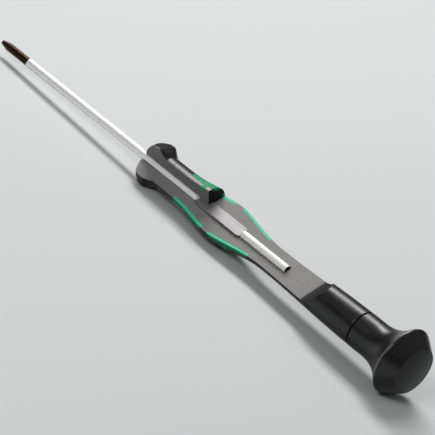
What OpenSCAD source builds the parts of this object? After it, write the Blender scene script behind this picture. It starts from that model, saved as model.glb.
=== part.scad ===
// Precision screwdriver, shown as a section model.
// The tool lies along X: the tip points to -X and the turning cap is at +X.
// X = 0 is where the blade enters the nose of the handle, on the tool's own axis.
// Each piece is drawn with the main section plane at Z = 0 and the short upright one at Y = 0.
// It is then turned about X as the tool lies, with a flat of its nose underneath.

/* [Blade] */
// Radius of the round blade bar
blade_r = 1.15; // [0.9:0.05:1.6]
// Length of blade from the nose of the handle to the end of the tip
blade_reach = 52.7; // [40:0.5:80]
// Length of blade buried in the handle
blade_buried = 51.6; // [46:0.5:56]
// Length of the dark burnished tip
tip_len = 9.7; // [8:0.1:14]
// How much smaller the tip's radius is than the bar's
tip_step = 0.1; // [0.05:0.05:0.25]
// Length of the tapered point
point_len = 2.4; // [2:0.1:3.5]
// Radius of the blunt end of the point
point_r = 0.55; // [0.4:0.05:0.7]
// Distance from the axis to the root of a flute at the very end
web_r = 0.24; // [0.18:0.02:0.34]
// Length over which the flutes run out
flute_len = 3.3; // [3:0.1:4.5]
// Angle between the two walls of a flute
flute_angle = 92; // [80:2:110]
// Chamfer on the rear end of the bar
bar_chamfer = 0.12; // [0.05:0.01:0.25]

/* [Blade wings] */
// Where the flattened wings start, from the nose
wing_start = 19.6; // [18:0.1:21]
// Length of the flattened stretch
wing_len = 16.3; // [12:0.1:18]
// Width over both wings
wing_w = 3.5; // [2.9:0.1:4.4]
// Thickness of the flattened stretch
wing_t = 1.15; // [0.8:0.05:1.5]
// Length of the slanted front shoulder
wing_shoulder = 2.2; // [1:0.1:3]
// Corner radius at the rear of the wings
wing_corner = 0.75; // [0.4:0.05:0.9]
// Length of the slope from the round bar down to the flat
swage_len = 0.6; // [0.3:0.1:1]

/* [Handle] */
// Where the handle is thinnest behind the nose
waist_x = 10.5; // [9:0.1:12]
// Radius there
waist_r = 4.4; // [4.1:0.05:4.8]
// Where the handle is thickest
bulge_x = 29; // [28:0.1:31]
// Radius there
bulge_r = 6.35; // [6:0.05:6.8]
// Where the handle is thinnest behind the bulge
neck_x = 45.5; // [44:0.1:48]
// Radius there
neck_r = 3.9; // [3.6:0.05:4.2]
// Where the handle ends and the turning cap starts
rear_x = 77.7; // [77:0.1:82]
// Radius of the handle's rear end
rear_r = 4.9; // [4.5:0.05:5.2]
// How late the rise from waist to bulge comes
rise_power = 1.55; // [1:0.05:1.8]
// How early the fall from bulge to neck comes
fall_power = 0.85; // [0.7:0.05:1]
// Chamfer on the handle's rear edge
rear_chamfer = 0.16; // [0.08:0.02:0.3]

/* [Nose] */
// Number of flats on the nose
nose_sides = 6; // [6:1:6]
// Distance across the flats of the nose, halfway along them
nose_flats = 10.9; // [10:0.1:12]
// Radius of the lip that the flats are cut in
lip_r = 6.4; // [6.2:0.05:7]
// Where the lip and its flats end
lip_back_x = 5.2; // [4.9:0.1:5.5]
// How much more the flats lean than the tool's slope, so that it rests on a flat's two rear corners
flat_draft = 1.5; // [1:0.1:2.5]
// Where the slope behind the lip runs into the waist
hollow_end_x = 7.9; // [7.5:0.1:8.6]
// How hollow that slope is
hollow_power = 1.3; // [1.1:0.1:1.8]
// Lean of the nose's front face, in mm of length for each mm of radius
nose_lean = 0.15; // [0.05:0.01:0.2]
// Radius of the nose's crown
nose_crown_r = 9.5; // [8.5:0.5:14]
// Radius outside which the crown falls away faster
nose_edge_r = 4.5; // [4:0.1:5]
// How much faster, in mm of length for each square mm
nose_edge_fall = 0.2; // [0.1:0.02:0.24]

/* [Section] */
// Where the standing upper quarter ends
quarter_x = 23.15; // [22.4:0.05:24]
// Where the ramp at the rear of the section starts to rise, without its fillet
ramp_x = 62; // [58:0.5:64]
// Slope of the ramp from the section plane
ramp_angle = 50; // [40:1:65]
// Radius of the fillet at the foot of the ramp
ramp_fillet = 3; // [1:0.5:5]

/* [Soft pads] */
// Number of pads round the handle in each row
pad_count = 6; // [6:1:6]
// Where the front row starts
front_pad_x = 15.2; // [14:0.1:16]
// Length of a front pad
front_pad_len = 11.9; // [11:0.1:13]
// Width of a front pad
front_pad_w = 2.7; // [2.2:0.1:3.4]
// Where the rear row starts
rear_pad_x = 29.4; // [29:0.1:31]
// Length of a rear pad
rear_pad_len = 12.2; // [10:0.1:13]
// Width of a rear pad
rear_pad_w = 2.3; // [1.9:0.1:3]
// Thickness of a front pad
front_pad_t = 0.85; // [0.7:0.05:1.1]
// Thickness of a rear pad
rear_pad_t = 0.7; // [0.5:0.02:0.9]
// Fullness of a pad's outline: 2 is an ellipse and more is squarer
pad_fullness = 5; // [2:0.5:7]
// Where the links between the front pads lie
front_link_x = 20.2; // [19:0.1:21]
// Depth of a front link below the handle's surface
front_link_t = 0.8; // [0.5:0.05:1.1]
// Where the links between the rear pads lie
rear_link_x = 34.1; // [33:0.1:35]
// Depth of a rear link
rear_link_t = 0.6; // [0.4:0.05:0.9]
// Length of a link along the handle
link_len = 1.5; // [1:0.1:2]

/* [Turning cap] */
// Radius of the cap's sleeve
cap_r = 4.95; // [4.6:0.05:5.3]
// Where the sleeve starts to flare
flare_x = 82; // [80:0.5:84]
// Power of the flare's curve
flare_power = 2.35; // [2:0.05:3]
// Radius of the rim
rim_r = 9.25; // [8.5:0.05:10]
// Where the rim is widest
rim_x = 91.85; // [91:0.05:93]
// Rounding of the rim
rim_round = 0.7; // [0.4:0.05:1]
// Radius of the crease where the end cover starts
crease_r = 6.33; // [5.8:0.05:7]
// Where that crease is
crease_x = 96.4; // [95.6:0.1:97]
// Rise of the end cover's crown
cover_crown = 0.6; // [0.3:0.05:1]
// Wall of the cap round the end cover
cover_wall = 0.13; // [0.1:0.01:0.3]
// Thickness of the end cover at its edge
cover_t = 1.5; // [1:0.1:2]
// Length of the cover's plug
plug_len = 1.2; // [0.6:0.1:1.6]
// Wall of the cover's plug
plug_wall = 0.9; // [0.6:0.1:1.2]
// Chamfer on the front edge of the sleeve
cap_chamfer = 0.15; // [0.08:0.01:0.3]

/* [Cap bearing] */
// Radius of the steel axle pin
pin_r = 1.5; // [1.2:0.05:1.8]
// Length of pin pressed into the handle
pin_seat = 10.2; // [8:0.1:11]
// Length of pin past the clip
pin_tail = 0.9; // [0.5:0.1:1.5]
// Chamfer on both ends of the pin
pin_chamfer = 0.25; // [0.1:0.05:0.4]
// Length of the cap's bush
bush_len = 8.2; // [6:0.1:8.6]
// Wall of the bush
bush_wall = 0.97; // [0.7:0.01:1.1]
// Radius of the hollow in the cap for the washer and the clip
cavity_r = 3.6; // [3.4:0.1:3.8]
// Where that hollow starts
cavity_x = 87; // [86.9:0.1:88]
// Thickness of the slide washer between the handle and the cap
slide_t = 0.3; // [0.2:0.05:0.5]
// Outer radius of the slide washer
slide_r = 3.4; // [3:0.1:4]
// Thickness of the thrust washer
thrust_t = 0.4; // [0.3:0.05:0.5]
// Outer radius of the thrust washer
thrust_r = 3.2; // [2.8:0.1:3.3]
// Thickness of the retaining clip
clip_t = 0.5; // [0.4:0.05:0.6]
// Outer radius of the retaining clip
clip_r = 2.9; // [2.5:0.1:3.1]
// Depth of the clip's groove in the pin
groove_depth = 0.35; // [0.25:0.05:0.45]
// Width of the clip's opening
clip_mouth = 1.9; // [1.5:0.1:2.2]

/* [Clearances] */
// Gap round the blade where it is moulded in
mould_gap = 0.12; // [0.05:0.01:0.2]
// Gap between pieces that are pressed or bonded together
seat_gap = 0.01; // [0.005:0.005:0.02]
// Gap round a soft pad
pad_gap = 0.03; // [0.02:0.01:0.06]
// Running clearance between the pin and the bush
run_gap = 0.03; // [0.02:0.01:0.08]
// Running clearance along the axle
end_gap = 0.05; // [0.04:0.01:0.1]

/* [Hidden] */
$fn = 96;
// Points along each curved stretch of an outline
curve_steps = 12;
// Points along each side of a pad's outline
pad_steps = 9;
// Something longer and wider than the whole tool, for cutting
beyond = 120;
// A little more than nothing, so that cuts run clear through
clear = 0.5;
pad_pitch = 360 / pad_count;
// Half a side of the nose brings one of its flats underneath
lying_turn = 180 / nose_sides;
tip_r = blade_r - tip_step;
tip_x = -blade_reach;
tip_end_x = tip_x + tip_len;
wing_end = wing_start + wing_len;
flute_tilt = atan((tip_r - web_r) / flute_len);
flute_reach = 2 * blade_r;
flat_mid_x = (nose_x(nose_flats / 2) + lip_back_x) / 2;
// The tool lies on a flat of the nose and on the cap's rim, which sets its slope
lying_slope = atan((rim_r - nose_flats / 2) / (rim_x - flat_mid_x));
flat_lean = lying_slope + flat_draft;
// How far above the waist the slope behind a flat comes out
flat_lift = 0.05;
column_foot = bulge_r / 6;
column_len = 1.3 * bulge_r;
cap_x = rear_x + slide_t + end_gap;
bush_x = cap_x + (cavity_x - cap_x - bush_len) / 2;
bush_r = pin_r + run_gap + bush_wall;
clip_x = cavity_x + thrust_t + 2 * end_gap;
groove_r = pin_r - groove_depth;
pin_end_x = clip_x + clip_t + pin_tail;
cover_r = crease_r - cover_wall;
cover_x = crease_x - cover_t;
plug_r = cavity_r - seat_gap;

colour_steel = [0.86, 0.86, 0.87];
colour_black = [0.13, 0.13, 0.13];
colour_green = [0.25, 0.72, 0.55];
colour_brass = [0.78, 0.62, 0.33];
colour_nylon = [0.9, 0.89, 0.85];

// A smooth step from 0 to 1
function ease(t) = t * t * (3 - 2 * t);

// A radius part of the way between two stations
function blend_r(x, x0, x1, r0, r1, power) =
    r0 + (r1 - r0) * ease(pow((x - x0) / (x1 - x0), power));

// Radius of the handle at a place behind the nose
function handle_r(x) =
    x <= waist_x ? waist_r :
    x <= bulge_x ? blend_r(x, waist_x, bulge_x, waist_r, bulge_r, rise_power) :
    x <= neck_x ? blend_r(x, bulge_x, neck_x, bulge_r, neck_r, fall_power) :
    blend_r(x, neck_x, rear_x, neck_r, rear_r, 1);

// Where the nose's front face is at a radius
function nose_x(r) =
    nose_lean * r + r * r / (2 * nose_crown_r) + nose_edge_fall * pow(max(0, r - nose_edge_r), 2);

// Stations spread evenly between two places
function spread(x0, x1, steps) = [for (i = [0:steps]) x0 + (x1 - x0) * i / steps];

// The handle's outline behind the hollow, as [radius, place]
function handle_line() = concat(
    [for (x = spread(hollow_end_x, waist_x, 1)) [waist_r, x]],
    [for (i = [1:curve_steps]) let (x = waist_x + (bulge_x - waist_x) * i / curve_steps) [handle_r(x), x]],
    [for (i = [1:curve_steps]) let (x = bulge_x + (neck_x - bulge_x) * i / curve_steps) [handle_r(x), x]],
    [for (i = [1:curve_steps - 1]) let (x = neck_x + (rear_x - neck_x) * i / curve_steps) [handle_r(x), x]],
    [[rear_r, rear_x - rear_chamfer], [rear_r - rear_chamfer, rear_x]]
);

// The lip's back corner and the hollow slope behind it
function hollow_line() = [
    for (i = [0:curve_steps - 1])
        let (t = i / curve_steps)
            [waist_r + (lip_r - waist_r) * pow(1 - t, hollow_power), lip_back_x + (hollow_end_x - lip_back_x) * t]
];

// The crowned front of the nose
function nose_line() = [for (r = spread(0, lip_r, curve_steps)) [r, nose_x(r)]];

// The turning cap's flare, its rounded rim and the cone behind it
flare_end_a = 130;
cone_start_a = 56;
flare_end_x = rim_x + rim_round * cos(flare_end_a);
flare_end_r = rim_r - rim_round + rim_round * sin(flare_end_a);

function flare_line() = [
    for (i = [0:curve_steps])
        let (t = i / curve_steps)
            [cap_r + (flare_end_r - cap_r) * pow(t, flare_power), flare_x + (flare_end_x - flare_x) * t]
];

function rim_line() = [
    for (a = spread(flare_end_a, cone_start_a, 6))
        [rim_r - rim_round + rim_round * sin(a), rim_x + rim_round * cos(a)]
];

// Turns a piece about the tool's axis as the tool lies
module as_it_lies() {
    rotate([lying_turn, 0, 0])
        children();
}

// Turns an outline of [radius, place] points about the tool's axis
module turned(points) {
    rotate([0, 90, 0])
        rotate_extrude()
            polygon(points);
}

// A round bar or disc on the tool's axis
module bar(x0, x1, r) {
    translate([x0, 0, 0])
        rotate([0, 90, 0])
            cylinder(h = x1 - x0, r = r);
}

// A washer on the tool's axis
module washer(x0, thickness, r_in, r_out) {
    difference() {
        bar(x0, x0 + thickness, r_out);
        bar(x0 - clear, x0 + thickness + clear, r_in);
    }
}

// One flute of the cross tip, a long V that leaves the web and climbs to the surface
module flute() {
    half_w = flute_reach * tan(flute_angle / 2);
    translate([tip_x, web_r, 0])
        rotate([0, 0, flute_tilt])
            translate([-clear, 0, 0])
                rotate([90, 0, 90])
                    linear_extrude(2 * flute_len)
                        polygon([[0, 0], [flute_reach, half_w], [flute_reach, -half_w]]);
}

// Outline of the wings seen from above, grown by a gap
function wing_outline(gap) =
    let (
        half = wing_w / 2 + gap,
        root = blade_r + gap,
        x0 = wing_start - gap,
        x1 = wing_end + gap,
        side = [
            [x0, root],
            [wing_start + wing_shoulder - gap, half],
            for (a = [90:-15:0])
                [x1 - wing_corner * 2 + wing_corner * 2 * cos(a), half - wing_corner + wing_corner * sin(a)],
        ]
    )
    concat(side, [for (i = [len(side) - 1:-1:0]) [side[i][0], -side[i][1]]]);

// The flattened stretch of the blade
module wings(gap) {
    translate([0, 0, -wing_t / 2 - gap])
        linear_extrude(wing_t + 2 * gap)
            polygon(wing_outline(gap));
}

// The bar in front of the wings and the bar behind them, each sloping down to the flat
module blade_bars(gap) {
    r = blade_r + gap;
    flat_r = wing_t / 2 + gap;
    turned([
        [0, -clear],
        [r, -clear],
        [r, wing_start - gap],
        [flat_r, wing_start + swage_len],
        [0, wing_start + swage_len],
    ]);
    turned([
        [0, wing_end - swage_len],
        [flat_r, wing_end - swage_len],
        [r, wing_end + gap],
        [r, blade_buried + gap],
        [0, blade_buried + gap],
    ]);
}

// The blade: a round bar with a cross tip in front and two wings pressed out of it in the handle
module blade() {
    color(colour_steel) as_it_lies()
        difference() {
            union() {
                turned([
                    [0, tip_x],
                    [point_r, tip_x],
                    [tip_r, tip_x + point_len],
                    [tip_r, tip_end_x],
                    [blade_r, tip_end_x + tip_step],
                    [blade_r, wing_start],
                    [wing_t / 2, wing_start + swage_len],
                    [0, wing_start + swage_len],
                ]);
                turned([
                    [0, wing_end - swage_len],
                    [wing_t / 2, wing_end - swage_len],
                    [blade_r, wing_end],
                    [blade_r, blade_buried - bar_chamfer],
                    [blade_r - bar_chamfer, blade_buried],
                    [0, blade_buried],
                ]);
                wings(0);
            }
            for (i = [0:3])
                rotate([45 + 90 * i, 0, 0])
                    flute();
        }
}

// What the section takes away: the near upper quarter in front, then the whole upper half
module section_cut() {
    reach = beyond / 2;
    tangent = ramp_fillet * tan(ramp_angle / 2);
    translate([-clear, -reach, 0])
        cube([quarter_x + clear, reach, reach]);
    translate([0, reach, 0])
        rotate([90, 0, 0])
            linear_extrude(2 * reach)
                polygon(concat(
                    [[quarter_x, 0]],
                    [
                        for (a = spread(0, ramp_angle, 8))
                            [ramp_x - tangent + ramp_fillet * sin(a), ramp_fillet * (1 - cos(a))]
                    ],
                    [[ramp_x + reach * cos(ramp_angle), reach * sin(ramp_angle)], [quarter_x, reach]]
                ));
}

// Outline of one pad on the handle's surface, grown by a gap
function pad_outline(x0, length, width, gap) =
    let (
        mid = x0 + length / 2,
        reach = length / 2 + gap,
        half = width / 2 + gap,
        turns = [for (i = [-pad_steps:pad_steps]) sin(90 * i / pad_steps)]
    )
    concat(
        [for (u = turns) [mid + reach * u, half * sqrt(max(0, 1 - pow(abs(u), pad_fullness)))]],
        [
            for (i = [len(turns) - 2:-1:1])
                [mid + reach * turns[i], -half * sqrt(max(0, 1 - pow(abs(turns[i]), pad_fullness)))]
        ]
    );

// The handle's outline from one place to another, sunk by a depth and closed on the axis
module sunk_core(x0, x1, depth) {
    xs = spread(x0, x1, 8);
    turned(concat([[0, x0]], [for (x = xs) [handle_r(x) - depth, x]], [[0, x1]]));
}

// A column that stands on a pad's outline, at one angle round the handle
module pad_column(x0, length, width, gap, angle) {
    rotate([angle - 90, 0, 0])
        translate([0, 0, column_foot])
            linear_extrude(column_len)
                polygon(pad_outline(x0, length, width, gap));
}

// How far a flat of the nose is from the axis at a place
function flat_r(x) = nose_flats / 2 + (x - flat_mid_x) * tan(flat_lean);

// The whole outside of the handle, before anything is cut in it
module handle_solid() {
    difference() {
        turned(concat(nose_line(), hollow_line(), handle_line(), [[0, rear_x]]));
        for (i = [0:nose_sides - 1])
            rotate([360 / nose_sides * i, 0, 0])
                linear_extrude(2 * lip_r, center = true)
                    polygon([
                        [-clear, flat_r(-clear)],
                        [lip_back_x, flat_r(lip_back_x)],
                        [hollow_end_x, waist_r + flat_lift],
                        [hollow_end_x, 2 * lip_r],
                        [-clear, 2 * lip_r],
                    ]);
    }
}

// The sector of the links that belongs to one pad
module link_sector(angle, gap) {
    half_a = pad_pitch / 2;
    side = 2 * bulge_r;
    rotate([angle, 0, 0])
        rotate([90, 0, 90])
            linear_extrude(neck_x)
                polygon([
                    [gap, 0],
                    [side * cos(half_a), side * sin(half_a) - gap],
                    [side * cos(half_a), gap - side * sin(half_a)],
                ]);
}

// A shallow ring from under the handle's surface to just outside it
module link_ring(x, depth, gap) {
    x0 = x - gap;
    x1 = x + link_len + gap;
    difference() {
        turned([
            [0, x0],
            [handle_r(x0) + clear, x0],
            [handle_r(x1) + clear, x1],
            [0, x1],
        ]);
        turned([
            [0, x0 - clear],
            [handle_r(x0) - depth - gap, x0 - clear],
            [handle_r(x0) - depth - gap, x0],
            [handle_r(x1) - depth - gap, x1],
            [handle_r(x1) - depth - gap, x1 + clear],
            [0, x1 + clear],
        ]);
    }
}

// One soft pad with its half links to the pads beside it
module soft_pad(x0, length, width, depth, link_x, link_t, angle) {
    color(colour_green) as_it_lies()
        difference() {
            intersection() {
                handle_solid();
                union() {
                    pad_column(x0, length, width, 0, angle);
                    intersection() {
                        link_ring(link_x, link_t, 0);
                        link_sector(angle, pad_gap);
                    }
                }
            }
            difference() {
                sunk_core(x0 - clear, x0 + length + clear, depth);
                link_ring(link_x, link_t, 0);
            }
            section_cut();
        }
}

// A pad of the front row
module front_pad(angle) {
    soft_pad(front_pad_x, front_pad_len, front_pad_w, front_pad_t, front_link_x, front_link_t, angle);
}

// A pad of the rear row
module rear_pad(angle) {
    soft_pad(rear_pad_x, rear_pad_len, rear_pad_w, rear_pad_t, rear_link_x, rear_link_t, angle);
}

// The pockets that one row of pads is moulded into
module pad_pockets(x0, length, width, depth) {
    difference() {
        for (i = [0:pad_count - 1])
            pad_column(x0, length, width, pad_gap, pad_pitch * i);
        sunk_core(x0 - clear, x0 + length + clear, depth + seat_gap);
    }
}

// The hard handle, with the section cut into it
module handle_body() {
    color(colour_black) as_it_lies()
        difference() {
            handle_solid();
            blade_bars(mould_gap);
            wings(seat_gap);
            pad_pockets(front_pad_x, front_pad_len, front_pad_w, front_pad_t);
            pad_pockets(rear_pad_x, rear_pad_len, rear_pad_w, rear_pad_t);
            link_ring(front_link_x, front_link_t, pad_gap);
            link_ring(rear_link_x, rear_link_t, pad_gap);
            bar(rear_x - pin_seat - seat_gap, rear_x + clear, pin_r + seat_gap);
            section_cut();
        }
}

// The steel pin that the cap turns on
module axle_pin() {
    x0 = rear_x - pin_seat;
    color(colour_steel) as_it_lies()
        turned([
            [0, x0],
            [pin_r - pin_chamfer, x0],
            [pin_r, x0 + pin_chamfer],
            [pin_r, clip_x - end_gap],
            [groove_r, clip_x - end_gap],
            [groove_r, clip_x + clip_t + end_gap],
            [pin_r, clip_x + clip_t + end_gap],
            [pin_r, pin_end_x - pin_chamfer],
            [pin_r - pin_chamfer, pin_end_x],
            [0, pin_end_x],
        ]);
}

// The slippery washer that fills the dark joint between handle and cap
module slide_washer() {
    color(colour_nylon) as_it_lies()
        washer(rear_x + seat_gap, slide_t - seat_gap, pin_r + run_gap, slide_r);
}

// The bush in the cap
module cap_bush() {
    color(colour_brass) as_it_lies()
        washer(bush_x, bush_len, pin_r + run_gap, bush_r);
}

// The washer that the clip bears on
module thrust_washer() {
    color(colour_steel) as_it_lies()
        washer(cavity_x + seat_gap, thrust_t, pin_r + run_gap, thrust_r);
}

// The open clip that keeps the cap on its pin
module retaining_clip() {
    color(colour_steel) as_it_lies()
        difference() {
            washer(clip_x, clip_t, groove_r + seat_gap, clip_r);
            translate([clip_x - clear, -clip_mouth / 2, 0])
                cube([clip_t + 2 * clear, clip_mouth, clip_r + clear]);
        }
}

// The cap that turns in the palm or under a fingertip
module cap_body() {
    color(colour_black) as_it_lies()
        difference() {
            turned(concat(
                [[0, cap_x], [cap_r - cap_chamfer, cap_x], [cap_r, cap_x + cap_chamfer]],
                flare_line(),
                rim_line(),
                [[crease_r, crease_x], [0, crease_x]]
            ));
            bar(cap_x - clear, cavity_x + clear, bush_r + seat_gap);
            bar(cavity_x, crease_x, cavity_r);
            bar(cover_x - seat_gap, crease_x + clear, cover_r + seat_gap);
        }
}

// The crowned cover that closes the cap's end
module cap_cover() {
    color(colour_black) as_it_lies()
        difference() {
            turned(concat(
                [[0, cover_x - plug_len], [plug_r, cover_x - plug_len], [plug_r, cover_x]],
                [[cover_r, cover_x]],
                [
                    for (r = spread(cover_r, 0, 8))
                        [r, crease_x + cover_crown * (1 - pow(r / cover_r, 2))]
                ]
            ));
            bar(cover_x - plug_len - clear, cover_x, plug_r - plug_wall);
        }
}

blade();
handle_body();
front_pad(180);  // front_pad_near
front_pad(0);  // front_pad_far
front_pad(60);  // front_pad_top
front_pad(240);  // front_pad_low_near
front_pad(300);  // front_pad_low_far
rear_pad(180);  // rear_pad_near
rear_pad(0);  // rear_pad_far
rear_pad(240);  // rear_pad_low_near
rear_pad(300);  // rear_pad_low_far
axle_pin();
slide_washer();
cap_bush();
thrust_washer();
retaining_clip();
cap_body();
cap_cover();
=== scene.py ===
import math

import bmesh
import bpy
from mathutils import Matrix, Vector


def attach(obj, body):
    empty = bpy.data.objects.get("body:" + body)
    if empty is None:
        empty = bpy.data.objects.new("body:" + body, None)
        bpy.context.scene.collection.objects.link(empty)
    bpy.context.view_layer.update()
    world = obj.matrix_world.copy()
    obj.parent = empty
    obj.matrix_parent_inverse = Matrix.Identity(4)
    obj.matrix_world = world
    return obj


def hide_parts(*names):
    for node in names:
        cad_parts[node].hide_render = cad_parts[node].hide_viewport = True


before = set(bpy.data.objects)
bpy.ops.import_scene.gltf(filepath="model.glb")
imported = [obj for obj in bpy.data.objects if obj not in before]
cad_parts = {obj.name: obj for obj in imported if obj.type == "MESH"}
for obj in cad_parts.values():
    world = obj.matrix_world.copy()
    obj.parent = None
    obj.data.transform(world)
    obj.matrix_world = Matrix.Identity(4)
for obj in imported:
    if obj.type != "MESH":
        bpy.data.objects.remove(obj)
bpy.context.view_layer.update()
mm = 0.001
print("frame loaded:", len(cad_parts), "nodes")

# Shapes are worked out in millimetres along the tool's axis X with the section facing straight up.
# At the end they are made metres and turned as the tool lies, on a flat of its nose.
lyingTurn = math.radians(30)
sharpAngle = math.radians(32)  # edges that bend more than this stay crisp
weld = 1e-4                    # points closer than this are one


def ease(t):
    return t * t * (3 - 2 * t)


def between(a, b, count):
    return [a + (b - a) * i / count for i in range(count + 1)]


def softMin(a, b, blend):
    # the smaller of two values, rounded off where they are nearly equal
    h = max(blend - abs(a - b), 0) / blend
    return min(a, b) - h * h * blend / 4


def turned(outline, segments, closed=False, angle=360):
    # outline is (place along X, radius) pairs
    # a full turn starts half a step off, clear of the section planes
    bm = bmesh.new()
    start = math.pi / segments if angle == 360 else 0
    points = [bm.verts.new((x, r * math.cos(start), r * math.sin(start))) for x, r in outline]
    pairs = list(zip(points, points[1:])) + ([(points[-1], points[0])] if closed else [])
    edges = [bm.edges.new(pair) for pair in pairs]
    bmesh.ops.spin(bm, geom=points + edges, cent=(0, 0, 0), axis=(1, 0, 0), angle=math.radians(angle),
                   steps=segments, use_merge=angle == 360)
    bmesh.ops.remove_doubles(bm, verts=bm.verts, dist=weld)
    bmesh.ops.recalc_face_normals(bm, faces=bm.faces)
    return bm


def pushed(bm, faces):
    # faces drawn out into a body; it gives the points of the new end
    made = bmesh.ops.extrude_face_region(bm, geom=faces, use_keep_orig=True)["geom"]
    return [part for part in made if isinstance(part, bmesh.types.BMVert)]


def slab(outline, along, start, length):
    # a flat outline pushed along one axis; it gives the other two axes in X, Y, Z order
    bm = bmesh.new()
    first, second = [axis for axis in range(3) if axis != along]
    corners = []
    for a, b in outline:
        place = Vector((0, 0, 0))
        place[first], place[second], place[along] = a, b, start
        corners.append(bm.verts.new(place))
    push = Vector((0, 0, 0))
    push[along] = length
    bmesh.ops.translate(bm, vec=push, verts=pushed(bm, [bm.faces.new(corners)]))
    bmesh.ops.recalc_face_normals(bm, faces=bm.faces)
    return bm


def solid(name, bm, materials):
    mesh = bpy.data.meshes.new(name)
    bm.to_mesh(mesh)
    bm.free()
    for material in materials:
        mesh.materials.append(material)
    made = bpy.data.objects.new(name, mesh)
    bpy.context.collection.objects.link(made)
    return made


def carve(target, tools, operation="DIFFERENCE"):
    # each tool's own finish stays on the faces that it leaves
    for tool in tools:
        cut = target.modifiers.new("cut", "BOOLEAN")
        cut.operation = operation
        cut.solver = "EXACT"
        cut.material_mode = "TRANSFER"
        cut.object = tool
    graph = bpy.context.evaluated_depsgraph_get()
    carved = target.evaluated_get(graph)
    mesh = bpy.data.meshes.new_from_object(carved, preserve_all_data_layers=True, depsgraph=graph)
    target.modifiers.clear()
    spare = target.data
    target.data = mesh
    bpy.data.meshes.remove(spare)


def discard(spares):
    for spare in spares:
        bpy.data.objects.remove(spare)


def finished(made, body, node):
    mesh = made.data
    mesh.transform(Matrix.Rotation(lyingTurn, 4, "X") @ Matrix.Scale(mm, 4))
    mesh.shade_smooth()
    mesh.set_sharp_from_angle(angle=sharpAngle)
    # broad flat faces keep their own shade beside small rounded edges
    weigh = made.modifiers.new("weigh", "WEIGHTED_NORMAL")
    weigh.keep_sharp = True
    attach(made, body)
    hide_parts(node)
    print(made.name, "has", sum(len(face.vertices) - 2 for face in mesh.polygons), "triangles")


# Finishes

colourA, colourB, colourOut = 6, 7, 2  # the colour sockets of a Mix node
mixFactor = 0                          # its first socket
wavePeriod = math.pi / 10              # a Wave repeats after this much of its unit
alongLength = 100                      # mm from the nose to the place 1 of a colour along the tool


def linear(code):
    # sRGB hex to linear colour
    parts = [int(code[i:i + 2], 16) / 255 for i in (1, 3, 5)]
    return [c / 12.92 if c <= 0.04045 else ((c + 0.055) / 1.055) ** 2.4 for c in parts] + [1]


def put(tree, kind, wires=None, **settings):
    node = tree.nodes.new(kind)
    for key, value in settings.items():
        setattr(node, key, value)
    for socket, source in (wires or {}).items():
        if isinstance(source, bpy.types.NodeSocket):
            tree.links.new(source, node.inputs[socket])
        else:
            node.inputs[socket].default_value = source
    return node


def stops(ramp, pairs):
    # colour stops, each a hex colour or a plain level
    band = ramp.color_ramp.elements
    while len(band) < len(pairs):
        band.new(1)
    for element, (place, colour) in zip(band, pairs):
        element.position = place
        element.color = linear(colour) if isinstance(colour, str) else (colour, colour, colour, 1)
    return ramp.outputs["Color"]


def newFinish(name, shader):
    # one shader, and the Object coordinates that its patterns read
    material = bpy.data.materials.new(name)
    material.use_nodes = True
    tree = material.node_tree
    tree.nodes.clear()
    bsdf = put(tree, "ShaderNodeBsdfPrincipled", shader)
    put(tree, "ShaderNodeOutputMaterial", {"Surface": bsdf.outputs["BSDF"]})
    return material, tree, bsdf, put(tree, "ShaderNodeTexCoord").outputs["Object"]


def perMm(size):
    # a pattern's scale in Object space for a grain of this size in millimetres
    return 1 / (size * mm)


def mouldedBlack(name, dark, light, ior):
    # glass-filled polyamide from a spark-eroded mould: deep black, soft satin highlights, fine grain
    material, tree, bsdf, place = newFinish(name, {"Metallic": 0.0, "IOR": ior})
    cloud = put(tree, "ShaderNodeTexNoise", {"Vector": place, "Scale": perMm(6), "Detail": 3.0})
    tone = put(tree, "ShaderNodeValToRGB", {"Fac": cloud.outputs["Fac"]})
    tree.links.new(stops(tone, [(0.35, dark), (0.65, light)]), bsdf.inputs["Base Color"])
    gloss = put(tree, "ShaderNodeMapRange", {"Value": cloud.outputs["Fac"], "From Min": 0.3,
                                             "From Max": 0.7, "To Min": 0.28, "To Max": 0.36})
    tree.links.new(gloss.outputs["Result"], bsdf.inputs["Roughness"])
    # the real grain is near 0.05 mm; it is drawn at 0.25 mm so that it shows
    grain = put(tree, "ShaderNodeTexNoise", {"Vector": place, "Scale": perMm(0.25), "Detail": 2.0})
    bump = put(tree, "ShaderNodeBump", {"Height": grain.outputs["Fac"], "Strength": 0.45,
                                        "Distance": 0.02 * mm})
    tree.links.new(bump.outputs["Normal"], bsdf.inputs["Normal"])
    return material


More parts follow.
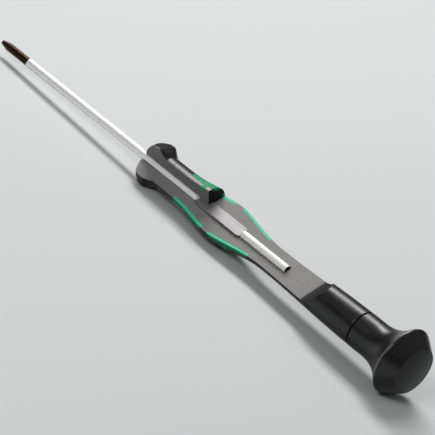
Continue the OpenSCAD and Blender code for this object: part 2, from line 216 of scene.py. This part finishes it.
def milledPlastic(name, alongX, roughness, ior):
    # the same polyamide where the section is milled through it: dull, greyed by the cutter
    # alongX is its colours along the tool
    material, tree, bsdf, place = newFinish(name, {"Metallic": 0.0, "IOR": ior, "Roughness": roughness})
    split = put(tree, "ShaderNodeSeparateXYZ", {"Vector": place})
    run = put(tree, "ShaderNodeMapRange", {"Value": split.outputs["X"], "From Min": 0.0,
                                           "From Max": alongLength * mm})
    base = stops(put(tree, "ShaderNodeValToRGB", {"Fac": run.outputs["Result"]}), alongX)
    cloud = put(tree, "ShaderNodeTexNoise", {"Vector": place, "Scale": perMm(1.2), "Detail": 4.0})
    veil = stops(put(tree, "ShaderNodeValToRGB", {"Fac": cloud.outputs["Fac"]}), [(0.3, 0.88), (0.7, 1.0)])
    tone = put(tree, "ShaderNodeMix", {mixFactor: 1.0, colourA: base, colourB: veil},
               data_type="RGBA", blend_type="MULTIPLY")
    tree.links.new(tone.outputs[colourOut], bsdf.inputs["Base Color"])
    # the cutter's feed marks are near 0.4 mm apart; they are drawn 2.5 mm apart so that they show
    feed = put(tree, "ShaderNodeTexWave", {"Vector": place, "Scale": perMm(2.513) * wavePeriod,
                                           "Distortion": 0.6, "Detail": 2.0}, bands_direction="X")
    bump = put(tree, "ShaderNodeBump", {"Height": feed.outputs["Fac"], "Strength": 0.12,
                                        "Distance": 0.02 * mm})
    tree.links.new(bump.outputs["Normal"], bsdf.inputs["Normal"])
    return material


def softGreen(name, dark, light):
    # thermoplastic elastomer: matt and slightly waxy, a little uneven in colour
    material, tree, bsdf, place = newFinish(name, {"Metallic": 0.0, "IOR": 1.42, "Roughness": 0.6})
    cloud = put(tree, "ShaderNodeTexNoise", {"Vector": place, "Scale": perMm(0.9), "Detail": 3.0})
    tone = put(tree, "ShaderNodeValToRGB", {"Fac": cloud.outputs["Fac"]})
    tree.links.new(stops(tone, [(0.32, dark), (0.68, light)]), bsdf.inputs["Base Color"])
    # the mould's grain is near 0.05 mm; it is drawn at 0.2 mm so that it shows
    grain = put(tree, "ShaderNodeTexNoise", {"Vector": place, "Scale": perMm(0.2), "Detail": 1.0})
    bump = put(tree, "ShaderNodeBump", {"Height": grain.outputs["Fac"], "Strength": 0.25,
                                        "Distance": 0.02 * mm})
    tree.links.new(bump.outputs["Normal"], bsdf.inputs["Normal"])
    return material


def drawnSteel(name, dark, light, roughness, streak, metallic=1.0):
    # bright metal with lines along the tool from drawing and polishing
    # real ones are a few hundredths of a millimetre wide; streak draws them wider so that they show
    material, tree, bsdf, place = newFinish(name, {"Metallic": metallic, "Roughness": roughness})
    stretched = put(tree, "ShaderNodeMapping", {"Vector": place, "Scale": (0.04, 1, 1)}).outputs["Vector"]
    lines = put(tree, "ShaderNodeTexNoise", {"Vector": stretched, "Scale": perMm(streak), "Detail": 3.0})
    tone = put(tree, "ShaderNodeValToRGB", {"Fac": lines.outputs["Fac"]})
    tree.links.new(stops(tone, [(0.35, dark), (0.65, light)]), bsdf.inputs["Base Color"])
    bump = put(tree, "ShaderNodeBump", {"Height": lines.outputs["Fac"], "Strength": 0.15,
                                        "Distance": 0.01 * mm})
    tree.links.new(bump.outputs["Normal"], bsdf.inputs["Normal"])
    return material


def burnishedTip():
    # chemically blackened hardened steel: brown-black with reddish and olive tints where it is handled
    material, tree, bsdf, place = newFinish("burnishedTip", {"Metallic": 1.0, "Roughness": 0.34})
    patch = put(tree, "ShaderNodeTexNoise", {"Vector": place, "Scale": perMm(1.1), "Detail": 4.0})
    tone = stops(put(tree, "ShaderNodeValToRGB", {"Fac": patch.outputs["Fac"]}),
                 [(0.3, "#2a2420"), (0.46, "#442b20"), (0.56, "#2c2a1c"), (0.72, "#352e28")])
    tree.links.new(tone, bsdf.inputs["Base Color"])
    # blasting grit leaves pits near 0.03 mm; they are drawn at 0.12 mm so that they show
    grit = put(tree, "ShaderNodeTexNoise", {"Vector": place, "Scale": perMm(0.12), "Detail": 2.0})
    bump = put(tree, "ShaderNodeBump", {"Height": grit.outputs["Fac"], "Strength": 0.3,
                                        "Distance": 0.015 * mm})
    tree.links.new(bump.outputs["Normal"], bsdf.inputs["Normal"])
    return material


plasticSkin = mouldedBlack("mouldedBlack", "#0d0d0d", "#121111", ior=1.5)
# the cover's mould was left matt, so it mirrors less
coverSkin = mouldedBlack("mouldedCover", "#0b0b0b", "#100f0f", ior=1.3)
# painted highlight: a pale line round the rim's rounded edge, where it catches the light
paintedRimHighlight = mouldedBlack("paintedRimHighlight", "#6f6c69", "#8a8783", ior=1.5)

# the cut's grey drifts along the tool as painted shade, copying how the light falls along it, and fades to
# black where it meets the ramp's fillet, painted shade there too
sectionGreyAndShade = milledPlastic("milledSectionAndShade", [(0.0, "#7c7a7c"), (0.19, "#888687"), (0.27, "#848281"),
                                              (0.35, "#807e7c"), (0.55, "#878583"), (0.6, "#84827e"),
                                              (0.615, "#4a4948"), (0.622, "#171616")],
                            roughness=0.6, ior=1.5)
# the upright face is a darker copy of the same milled grey and darkens a little along the tool: painted shade
# where it turns from the light
uprightShadedGrey = milledPlastic("milledUprightShaded", [(0.0, "#6a696b"), (0.1, "#636263"), (0.23, "#605f60")],
                            roughness=0.6, ior=1.5)
# the end and ramp faces are the same milled plastic painted near black: painted shade where they face away
# from the light
endPaintedShade = milledPlastic("milledEndPaintedShade", [(0.0, "#131212"), (1.0, "#161515")], roughness=0.65, ior=1.3)

greenSkin = softGreen("mouldedElastomer", "#028054", "#079466")
greenCut = softGreen("cutElastomer", "#46c495", "#5ad1a6")

# the bar's blasted plating scatters part of the light, so it looks whiter than a plain metal
chromeBar = drawnSteel("satinChrome", "#f1f1f0", "#fafaf9", roughness=0.48, streak=0.3, metallic=0.8)
shearedEnd = drawnSteel("shearedEnd", "#1d1b1b", "#2b2929", roughness=0.5, streak=0.2)
groundWing = drawnSteel("groundWing", "#9b9999", "#a9a6a7", roughness=0.58, streak=0.3)
darkTip = burnishedTip()
pinSteel = drawnSteel("groundPin", "#9c9c9e", "#b8b8ba", roughness=0.3, streak=0.15)
springSteel = drawnSteel("oiledSpring", "#333335", "#444446", roughness=0.35, streak=0.2)
bushBrass = drawnSteel("turnedBrass", "#b78a3e", "#cda254", roughness=0.33, streak=0.2)
print("finishes ready")


# The section through the tool

section = {
    "front": -5,           # where the cuts start, ahead of the nose
    "quarterEnd": 23.15,   # where the standing upper quarter stops
    "rampFoot": 62.0,      # where the ramp would start without its fillet
    "rampAngle": 50,
    "rampFillet": 3.0, "filletSteps": 16,
    "reach": 60,           # how far the cuts run out past the tool
    "square": 0.9,         # a face with this much of one axis in its normal looks along it
    "level": 0.999,        # and with this much of Z it counts as level
}


def shadeByFacing(normal):
    # a cut's finishes are for its level, upright and end faces and its ramp, in that order; darker ones on
    # the upright, end and ramp faces are painted shade for the way those faces turn from the light
    if normal.y > section["square"]:
        return 1
    if abs(normal.x) > section["square"]:
        return 2
    return 0 if normal.z < -section["level"] else 3


def sectionTools(level, upright, end, ramp):
    # the near upper quarter in front, then the whole upper half up to the ramp
    reach, front, start = section["reach"], section["front"], section["quarterEnd"]
    quarter = slab([(front, -reach), (start, -reach), (start, 0), (front, 0)], 2, 0, reach)
    angle, fillet = math.radians(section["rampAngle"]), section["rampFillet"]
    arcStart = section["rampFoot"] - fillet * math.tan(angle / 2)
    curve = [(arcStart + fillet * math.sin(a), fillet * (1 - math.cos(a)))
             for a in between(0, angle, section["filletSteps"])]
    top = (section["rampFoot"] + reach * math.cos(angle), reach * math.sin(angle))
    half = slab([(start, 0)] + curve + [top, (start, reach)], 1, -reach, 2 * reach)
    for bm in (quarter, half):
        bm.normal_update()
        for face in bm.faces:
            face.material_index = shadeByFacing(face.normal)
    return [solid("cut", bm, [level, upright, end, ramp]) for bm in (quarter, half)]


# Handle

handle = {
    "waistX": 10.5, "waistR": 4.4,
    "bulgeX": 29.0, "bulgeR": 6.35,
    "neckX": 45.5, "neckR": 3.9,
    "rearX": 77.7, "rearR": 4.9,
    "risePower": 1.55, "fallPower": 0.85,     # how late the grip swells and falls
    "rearEdge": 0.16,
    "noseLean": 0.15, "noseCrown": 9.5,       # slope at the nose's middle, radius of its crown
    "noseEdgeR": 4.5, "noseEdgeFall": 0.2,    # outside this radius the crown falls off faster
    "lipR": 6.4, "lipBackX": 5.2,
    "hollowEndX": 7.9, "hollowPower": 1.3,    # the slope from the lip down to the waist
    "sides": 6,
    "flats": 10.9,         # across the hexagon's flats, halfway along them
    "flatMiddleX": 3.88,
    "flatLean": 3.97,      # degrees
    "flatLift": 0.05,      # how far above the waist the slope behind a flat comes out
    "edgeSoftness": 0.2,   # rounding where the flats meet the rest
    "roundCentre": 1,      # inside this radius the nose stays round
    "boreX": -3,           # ahead of the nose, where the blade's bore starts
    "segments": 180, "boreSegments": 64,
    "crownSteps": 56, "lipSteps": 12, "hollowSteps": 30, "gripSteps": 150, "edgeSteps": 4,
}


def handleRadius(x):
    spans = [(handle["waistX"], handle["bulgeX"], handle["waistR"], handle["bulgeR"], handle["risePower"]),
             (handle["bulgeX"], handle["neckX"], handle["bulgeR"], handle["neckR"], handle["fallPower"]),
             (handle["neckX"], handle["rearX"], handle["neckR"], handle["rearR"], 1)]
    for startX, endX, startR, endR, power in spans:
        if x <= endX:
            t = max(x - startX, 0) / (endX - startX)
            return startR + (endR - startR) * ease(t ** power)
    return handle["rearR"]


def crownX(r):
    # how far back the nose's front lies at this radius
    fall = handle["noseEdgeFall"] * max(r - handle["noseEdgeR"], 0) ** 2
    return handle["noseLean"] * r + r * r / (2 * handle["noseCrown"]) + fall


def handleOutline():
    # from the middle of the nose over the lip, the hollow and the grip to the middle of the rear
    lip, waist = handle["lipR"], handle["waistR"]
    back, hollowEnd = handle["lipBackX"], handle["hollowEndX"]
    rearX, rearR, edge = handle["rearX"], handle["rearR"], handle["rearEdge"]
    crown = [(crownX(r), r) for r in between(0, lip, handle["crownSteps"])]
    flank = [(x, lip) for x in between(crown[-1][0], back, handle["lipSteps"])][1:-1]
    hollow = [(back + (hollowEnd - back) * t, waist + (lip - waist) * (1 - t) ** handle["hollowPower"])
              for t in between(0, 1, handle["hollowSteps"])]
    grip = [(x, handleRadius(x)) for x in between(hollowEnd, rearX - edge, handle["gripSteps"])][1:]
    turn = [(rearX - edge + edge * math.sin(a), rearR - edge + edge * math.cos(a))
            for a in between(0, math.pi / 2, handle["edgeSteps"])][1:]
    return crown + flank + hollow + grip + turn + [(rearX, 0)]


def hexagonRadius(x, angle):
    # the leaning flats and, behind the lip, the slopes that run out just above the waist
    back, end = handle["lipBackX"], handle["hollowEndX"]
    lean = math.tan(math.radians(handle["flatLean"]))
    flat = handle["flats"] / 2 + (min(x, back) - handle["flatMiddleX"]) * lean
    if x > back:
        flat += (handle["waistR"] + handle["flatLift"] - flat) * (x - back) / (end - back)
    side = 360 / handle["sides"]
    turn = math.degrees(angle) % side
    first, second = (flat / math.cos(math.radians(a)) for a in (turn, side - turn))
    return softMin(first, second, handle["edgeSoftness"])


def handleForm():
    bm = turned(handleOutline(), handle["segments"])
    for vert in bm.verts:
        x, y, z = vert.co
        r = math.hypot(y, z)
        if x > handle["hollowEndX"] or r < handle["roundCentre"]:
            continue
        wanted = softMin(r, hexagonRadius(x, math.atan2(z, y)), handle["edgeSoftness"])
        vert.co.y *= wanted / r
        vert.co.z *= wanted / r
    return bm


# Blade

blade = {
    "r": 1.15,
    "tipX": -52.7, "tipR": 1.05, "tipEndX": -43.0,
    "pointLength": 2.4, "pointR": 0.55,
    "pointEdge": (0.04, 0.08),        # bevel round the blunt end, along and across
    "shoulderEdge": (0.15, 0.02),     # the same where the point meets the bar
    "flutes": 4, "firstFlute": 45,    # count, and degrees to the first
    "web": 0.24, "fluteLength": 3.3, "fluteAngle": 92, "fluteRoot": 0.12, "rootSteps": 6,
    "fluteReach": 2.4,     # how far out a flute's walls run, in bar radii
    "fluteAhead": 0.5,     # how far ahead of the tip they start
    "rearX": 51.6, "rearEdge": 0.12,
    "wingX": 19.6, "wingLength": 16.3, "wingWidth": 3.5, "wingThickness": 1.15,
    "shoulder": 2.2, "slope": 0.6, "pressedEdge": 0.16, "pressedSteps": 3,
    "corner": 0.75, "cornerLength": 1.5, "cornerSteps": 8,
    "slit": 0.18,          # gap round the bar where it is moulded in
    "wingSlit": 0.12,
    "segments": 96,
    "tipStart": 0.6, "tipSteps": 12,  # rings along the tip start this far behind the point
    "barStop": 0.5, "barSteps": 40,   # rings along the bar stop this far before the wings
}


def bladeFront(gap):
    start, flat = blade["wingX"], blade["wingThickness"] / 2 + gap
    return [(start - gap, blade["r"] + gap), (start + blade["slope"], flat), (start + blade["slope"], 0)]


def bladeRear(gap):
    end, flat = blade["wingX"] + blade["wingLength"], blade["wingThickness"] / 2 + gap
    return [(end - blade["slope"], 0), (end - blade["slope"], flat), (end + gap, blade["r"] + gap)]


def wingForm(gap):
    # both wings in one flat piece: slanted shoulders in front, rounded corners behind
    half, root = blade["wingWidth"] / 2 + gap, blade["r"] + gap
    corner, cornerLength = blade["corner"], blade["cornerLength"]
    start, end = blade["wingX"] - gap, blade["wingX"] + blade["wingLength"] + gap
    side = [(start, root), (blade["wingX"] + blade["shoulder"] - gap, half)]
    side += [(end - cornerLength + cornerLength * math.cos(a), half - corner + corner * math.sin(a))
             for a in between(math.pi / 2, 0, blade["cornerSteps"])]
    thickness = blade["wingThickness"] + 2 * gap
    return slab(side + [(x, -y) for x, y in reversed(side)], 2, -thickness / 2, thickness)


def fluteForm(turn):
    # a V with a rounded root that is deepest at the tip and runs out along the bar
    half, root = math.radians(blade["fluteAngle"] / 2), blade["fluteRoot"]
    middle = root / math.sin(half)
    wall = blade["fluteReach"] * blade["r"]
    arc = [(middle + root * math.cos(a), root * math.sin(a))
           for a in between(math.pi / 2 + half, 1.5 * math.pi - half, blade["rootSteps"])]
    outline = [(wall, wall * math.tan(half))] + arc + [(wall, -wall * math.tan(half))]
    bm = slab(outline, 0, -blade["fluteAhead"], 2 * blade["fluteLength"])
    tilt = math.atan((blade["tipR"] - blade["web"]) / blade["fluteLength"])
    toTip = Matrix.Translation((blade["tipX"], blade["web"], 0))
    place = Matrix.Rotation(math.radians(turn), 4, "X") @ toTip @ Matrix.Rotation(tilt, 4, "Z")
    bmesh.ops.transform(bm, matrix=place, verts=bm.verts)
    return bm


def barOutline():
    # from the blunt end over the dark tip to the wings
    tipX, tipEnd, tipR = blade["tipX"], blade["tipEndX"], blade["tipR"]
    shoulderX, step = tipX + blade["pointLength"], blade["r"] - tipR
    endAlong, endAcross = blade["pointEdge"]
    along, across = blade["shoulderEdge"]
    front = [(tipX, 0), (tipX, blade["pointR"] - endAcross), (tipX + endAlong, blade["pointR"]),
             (shoulderX - along, tipR - across), (shoulderX + along, tipR)]
    front += [(x, tipR) for x in between(shoulderX + blade["tipStart"], tipEnd, blade["tipSteps"])]
    front += [(x, blade["r"])
              for x in between(tipEnd + step, blade["wingX"] - blade["barStop"], blade["barSteps"])]
    return front + bladeFront(0)


def tailOutline():
    # from the wings to the sheared rear
    rearX, r, edge = blade["rearX"], blade["r"], blade["rearEdge"]
    return bladeRear(0) + [(rearX - edge, r), (rearX, r - edge), (rearX, 0)]


def makeBlade():
    body = solid("bladeBar", turned(barOutline(), blade["segments"]), [chromeBar, darkTip])
    finishEnd = blade["tipEndX"] + (blade["r"] - blade["tipR"]) / 2
    for face in body.data.polygons:
        face.material_index = 1 if face.center.x < finishEnd else 0
    rear = solid("bladeTail", turned(tailOutline(), blade["segments"]), [chromeBar, shearedEnd])
    for face in rear.data.polygons:
        face.material_index = 1 if face.normal.x > section["square"] else 0
    bm = wingForm(0)
    rims = [e for e in bm.edges if abs(e.verts[0].co.z - e.verts[1].co.z) < weld]
    bmesh.ops.bevel(bm, geom=rims, offset=blade["pressedEdge"], segments=blade["pressedSteps"],
                    affect="EDGES", profile=0.5, material=-1)
    wings = solid("bladeWings", bm, [groundWing])
    step = 360 / blade["flutes"]
    flutes = [solid("flute", fluteForm(blade["firstFlute"] + step * i), [darkTip])
              for i in range(blade["flutes"])]
    carve(body, [rear, wings], "UNION")
    carve(body, flutes)
    discard([rear, wings] + flutes)
    finished(body, "handle", "blade")


# Soft pads

pads = {
    "front": {"x": 15.2, "length": 11.9, "width": 2.7, "thickness": 0.85, "linkX": 20.2, "linkDepth": 0.8},
    "rear": {"x": 29.4, "length": 12.2, "width": 2.3, "thickness": 0.7, "linkX": 34.1, "linkDepth": 0.6},
    "around": 6,           # places for pads round the handle
    "fullness": 5,
    "blunt": 0.06,         # half the width left at each pad's ends
    "gap": 0.04,           # dark line round each pad
    "proud": 0.03,
    "clear": 0.6,          # how far the pockets' tools stand out of the handle
    "linkLength": 1.5,
    "linkHalf": 29.7,      # degrees from a pad's middle to the end of its link
    "pocketHalf": 30.5,    # the same for the pocket, so that pockets run into each other
    "grid": (44, 17),      # odd across, so no row lies on the section
    "linkSteps": 6, "linkSegments": 25,
    "weld": 1e-3,
    "rimZ": 0.1,           # a link's far rim lies above this before it is turned to its place
    "nodes": {"front_pad_near": 180, "front_pad_far": 0, "front_pad_top": 60, "front_pad_low_near": 240,
              "front_pad_low_far": 300, "rear_pad_near": 180, "rear_pad_far": 0, "rear_pad_low_near": 240,
              "rear_pad_low_far": 300},
}


def padForm(row, angle, gap, above):
    # a leaf-shaped patch on the handle's surface with its thickness under it
    size = pads[row]
    reach, halfWidth = size["length"] / 2 + gap, size["width"] / 2 + gap
    middle = size["x"] + size["length"] / 2
    bm = bmesh.new()
    bmesh.ops.create_grid(bm, x_segments=pads["grid"][0], y_segments=pads["grid"][1], size=1)
    for vert in bm.verts:
        along, across = math.sin(math.pi / 2 * vert.co.x), vert.co.y
        x = middle + reach * along
        half = max(halfWidth * math.sqrt(max(1 - abs(along) ** pads["fullness"], 0)), pads["blunt"])
        r = handleRadius(x)
        turn = math.radians(angle) + math.asin(half * across / r)
        r += above
        vert.co = (x, r * math.cos(turn), r * math.sin(turn))
    for vert in pushed(bm, bm.faces[:]):
        r = handleRadius(vert.co.x)
        inner = (r - size["thickness"] - gap) / (r + above)
        vert.co.y *= inner
        vert.co.z *= inner
    bmesh.ops.remove_doubles(bm, verts=bm.verts, dist=pads["weld"])
    bmesh.ops.recalc_face_normals(bm, faces=bm.faces)
    return bm


def linkForm(row, angle, gap, above, half):
    # the strip that runs round the handle from one pad to the next
    start, end = pads[row]["linkX"] - gap, pads[row]["linkX"] + pads["linkLength"] + gap
    depth = pads[row]["linkDepth"] + gap
    top = [(x, handleRadius(x) + above) for x in between(start, end, pads["linkSteps"])]
    outline = [(start, handleRadius(start) - depth)] + top + [(end, handleRadius(end) - depth)]
    bm = turned(outline, pads["linkSegments"], closed=True, angle=2 * half)
    for farRim in (False, True):
        loop = [e for e in bm.edges
                if e.is_boundary and all(v.co.z > pads["rimZ"] for v in e.verts) == farRim]
        bmesh.ops.edgeloop_fill(bm, edges=loop)
    bmesh.ops.recalc_face_normals(bm, faces=bm.faces)
    # the strip starts over +Y, so it is turned to lie either side of its pad
    turn = Matrix.Rotation(math.radians(angle - half), 3, "X")
    bmesh.ops.rotate(bm, cent=(0, 0, 0), matrix=turn, verts=bm.verts)
    return bm


def makePads(sectionCuts):
    for node, angle in pads["nodes"].items():
        row = node.split("_")[0]
        pad = solid(node + "_soft", padForm(row, angle, 0, pads["proud"]), [greenSkin])
        link = solid("link", linkForm(row, angle, 0, pads["proud"], pads["linkHalf"]), [greenSkin])
        carve(pad, [link], "UNION")
        discard([link])
        carve(pad, sectionCuts)
        finished(pad, "handle", node)


def makeHandle(sectionCuts):
    # the moulding, less the section, the blade's slot and a pocket under every pad and link
    body = solid("handleMoulding", handleForm(), [plasticSkin])
    slit = blade["slit"]
    wide, rearX, boreX = blade["r"] + slit, blade["rearX"] + slit, handle["boreX"]
    front = [(boreX, 0), (boreX, wide)] + bladeFront(slit)
    rear = bladeRear(slit) + [(rearX, wide), (rearX, 0)]
    pockets = [turned(front, handle["boreSegments"]), turned(rear, handle["boreSegments"]),
               wingForm(blade["wingSlit"])]
    gap, clear = pads["gap"], pads["clear"]
    angles = [360 / pads["around"] * i for i in range(pads["around"])]
    for row in ("front", "rear"):
        pockets += [padForm(row, angle, gap, clear) for angle in angles]
        pockets += [linkForm(row, angle, gap, clear, pads["pocketHalf"]) for angle in angles]
    tools = [solid("pocket", bm, [plasticSkin]) for bm in pockets]
    carve(body, sectionCuts)
    carve(body, tools)
    discard(tools)
    finished(body, "handle", "handle_body")


# the milled plastic is painted darker on its upright face and near black on its end and ramp faces: painted
# shade
plasticCuts = sectionTools(sectionGreyAndShade, uprightShadedGrey, endPaintedShade, endPaintedShade)
makeHandle(plasticCuts)
# the elastomer's end and ramp cut faces take the darker skin green: painted shade, as on the plastic
rubberCuts = sectionTools(greenCut, greenCut, greenSkin, greenSkin)
makePads(rubberCuts)
makeBlade()
discard(plasticCuts + rubberCuts)
print("handle, pads and blade made")


# Turning cap

cap = {
    "x": 78.05, "r": 4.95, "frontEdge": 0.15, "edgeSteps": 4,
    "flareX": 82.0, "flarePower": 2.35, "flareSteps": 48,
    "rimX": 91.85, "rimR": 9.25, "rimRound": 0.7, "rimSteps": 14,
    "flareEndAngle": 130, "coneStartAngle": 56,  # degrees round the rim
    "creaseX": 96.4, "creaseR": 6.33, "wall": 0.13, "coneSteps": 12,
    "rimHighlightX": (91.5, 91.66),  # the painted highlight line round the rim
    "rimHighlightLean": 0.2,         # it is on the faces that look forward by more than this
    "coverCrown": 0.6, "coverThickness": 1.5, "crownSteps": 24,
    "coverEdge": (0.06, 0.08),  # bevel round the cover, along and across
    "coverGap": 0.01,
    "plugLength": 1.2, "plugWall": 0.9,
    "bushR": 2.51, "cavityX": 87.0, "cavityR": 3.6,
    "segments": 192,
}


def capOutline():
    # round the section of the cap's wall: front edge, flare, rim, cone, crease and cavity
    x, r, edge = cap["x"], cap["r"], cap["frontEdge"]
    rim, rimX, rimR = cap["rimRound"], cap["rimX"], cap["rimR"] - cap["rimRound"]
    first, last = math.radians(cap["flareEndAngle"]), math.radians(cap["coneStartAngle"])
    endX, endR = rimX + rim * math.cos(first), rimR + rim * math.sin(first)
    outline = [(x, cap["bushR"]), (x, r - edge)]
    outline += [(x + edge - edge * math.cos(a), r - edge + edge * math.sin(a))
                for a in between(0, math.pi / 2, cap["edgeSteps"])]
    outline += [(cap["flareX"] + (endX - cap["flareX"]) * t, r + (endR - r) * t ** cap["flarePower"])
                for t in between(0, 1, cap["flareSteps"])]
    outline += [(rimX + rim * math.cos(a), rimR + rim * math.sin(a))
                for a in between(first, last, cap["rimSteps"])][1:]
    coneX, coneR = outline[-1]
    outline += [(coneX + (cap["creaseX"] - coneX) * t, coneR + (cap["creaseR"] - coneR) * t)
                for t in between(0, 1, cap["coneSteps"])][1:]
    coverR, coverX = cap["creaseR"] - cap["wall"], cap["creaseX"] - cap["coverThickness"]
    return outline + [(cap["creaseX"], coverR), (coverX, coverR), (coverX, cap["cavityR"]),
                      (cap["cavityX"], cap["cavityR"]), (cap["cavityX"], cap["bushR"])]


def coverOutline():
    # a low crown with a ring on its inner side that plugs the cavity
    coverR, coverX = cap["creaseR"] - cap["wall"] - cap["coverGap"], cap["creaseX"] - cap["coverThickness"]
    plugX, plugR = coverX - cap["plugLength"], cap["cavityR"] - cap["coverGap"]
    along, across = cap["coverEdge"]
    inner = [(coverX, 0), (coverX, plugR - cap["plugWall"]), (plugX, plugR - cap["plugWall"]),
             (plugX, plugR), (coverX, plugR), (coverX, coverR), (cap["creaseX"] - along, coverR)]
    return inner + [(cap["creaseX"] + cap["coverCrown"] * (1 - (r / coverR) ** 2), r)
                    for r in between(coverR - across, 0, cap["crownSteps"])]


def makeCap():
    body = solid("capMoulding", turned(capOutline(), cap["segments"], closed=True), [plasticSkin, paintedRimHighlight])
    startX, endX = cap["rimHighlightX"]
    # faces in a thin band on the rim's rounded edge that look forward get the painted highlight
    for face in body.data.polygons:
        onRimHighlight = startX < face.center.x < endX and face.normal.x < -cap["rimHighlightLean"]
        face.material_index = 1 if onRimHighlight else 0
    finished(body, "cap", "cap_body")
    cover = solid("capEnd", turned(coverOutline(), cap["segments"]), [coverSkin])
    finished(cover, "cap", "cap_cover")


makeCap()

# the bearing's pieces are the CAD solids with their own finishes
for node, finish in {"axle_pin": pinSteel, "slide_washer": plasticSkin, "cap_bush": bushBrass,
                     "thrust_washer": pinSteel, "retaining_clip": springSteel}.items():
    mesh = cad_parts[node].data
    mesh.materials.clear()
    mesh.materials.append(finish)
print("cap and bearing made")


# Stage, lights and camera

stage = {
    "floorSize": 4000,
    "floorColour": "#cfd1d1", "floorRoughness": 0.7, "floorIor": 1.45,
    "middle": (25, 0, 0),        # what the lamps face
    "worldHorizon": 0.08, "worldTop": 0.3,
    "horizonHeight": 0.25,       # the room is dim up to here, where straight up is 1
}

lamps = {
    # direction from the tool, distance and size in mm, strength in watts
    "skySoftbox": {"toward": (-0.49, 0.37, 0.78), "distance": 700, "size": (560, 230), "watts": 4.5},
    "frontFill": {"toward": (0.05, -0.79, 0.6), "distance": 800, "size": (300, 300), "watts": 2.0},
}


def makeStage():
    # the floor leans a little, so that a flat of the nose and the cap's rim both touch it
    noseX = handle["lipBackX"]
    noseR = hexagonRadius(noseX, 0)
    lean = math.atan2(cap["rimR"] - noseR, cap["rimX"] - noseX)
    bm = bmesh.new()
    bmesh.ops.create_grid(bm, x_segments=1, y_segments=1, size=stage["floorSize"] / 2)
    bmesh.ops.transform(bm, matrix=Matrix.Rotation(lean, 4, "Y"), verts=bm.verts)
    bmesh.ops.translate(bm, vec=(noseX, 0, -noseR), verts=bm.verts)
    bmesh.ops.scale(bm, vec=(mm, mm, mm), verts=bm.verts)
    board = newFinish("paintedBoard", {"Base Color": linear(stage["floorColour"]),
                                       "Roughness": stage["floorRoughness"], "IOR": stage["floorIor"]})[0]
    floor = solid("floor", bm, [board])


def makeWorld():
    # a room with a pale ceiling and dim walls
    world = bpy.data.worlds.new("studio")
    world.use_nodes = True
    tree = world.node_tree
    tree.nodes.clear()
    around = put(tree, "ShaderNodeTexCoord").outputs["Generated"]
    up = put(tree, "ShaderNodeSeparateXYZ", {"Vector": around}).outputs["Z"]
    level = put(tree, "ShaderNodeMapRange", {"Value": up, "From Min": stage["horizonHeight"], "From Max": 1.0,
                                             "To Min": stage["worldHorizon"], "To Max": stage["worldTop"]})
    sky = put(tree, "ShaderNodeBackground", {"Color": linear("#ffffff"), "Strength": level.outputs["Result"]})
    put(tree, "ShaderNodeOutputWorld", {"Surface": sky.outputs["Background"]})
    bpy.context.scene.world = world


def makeLamps():
    middle = Vector(stage["middle"])
    for name, lamp in lamps.items():
        data = bpy.data.lights.new(name, "AREA")
        data.shape = "RECTANGLE"
        data.size, data.size_y = lamp["size"][0] * mm, lamp["size"][1] * mm
        data.energy = lamp["watts"]
        light = bpy.data.objects.new(name, data)
        toward = Vector(lamp["toward"]).normalized()
        # the long side lies along the tool
        side = (Vector((1, 0, 0)) - toward * toward.x).normalized()
        turn = Matrix((side, toward.cross(side), toward)).transposed().to_4x4()
        light.matrix_world = Matrix.Translation((middle + toward * lamp["distance"]) * mm) @ turn
        bpy.context.collection.objects.link(light)


view = {
    "azimuth": 32.3075, "elevation": 22.5361, "roll": 25.1391,  # degrees
    "place": (1007.788, -1551.153, 760.818),                    # mm
    "lens": 670.03, "sensor": 36.0,                             # mm
    "clip": (0.05, 50),                                         # metres
}


def makeCamera():
    a, e, roll = (math.radians(view[key]) for key in ("azimuth", "elevation", "roll"))
    back = Vector((math.sin(a) * math.cos(e), -math.cos(a) * math.cos(e), math.sin(e)))
    right = Vector((math.cos(a), math.sin(a), 0))
    up = back.cross(right)
    turnedRight = right * math.cos(roll) + up * math.sin(roll)
    turnedUp = up * math.cos(roll) - right * math.sin(roll)
    data = bpy.data.cameras.new("photo")
    data.lens, data.sensor_width = view["lens"], view["sensor"]
    data.clip_start, data.clip_end = view["clip"]
    camera = bpy.data.objects.new("photo", data)
    turn = Matrix((turnedRight, turnedUp, back)).transposed().to_4x4()
    camera.matrix_world = Matrix.Translation(Vector(view["place"]) * mm) @ turn
    bpy.context.collection.objects.link(camera)
    bpy.context.scene.camera = camera


makeStage()
makeWorld()
makeLamps()
makeCamera()
bpy.context.scene.view_settings.view_transform = "Standard"
print("stage ready")
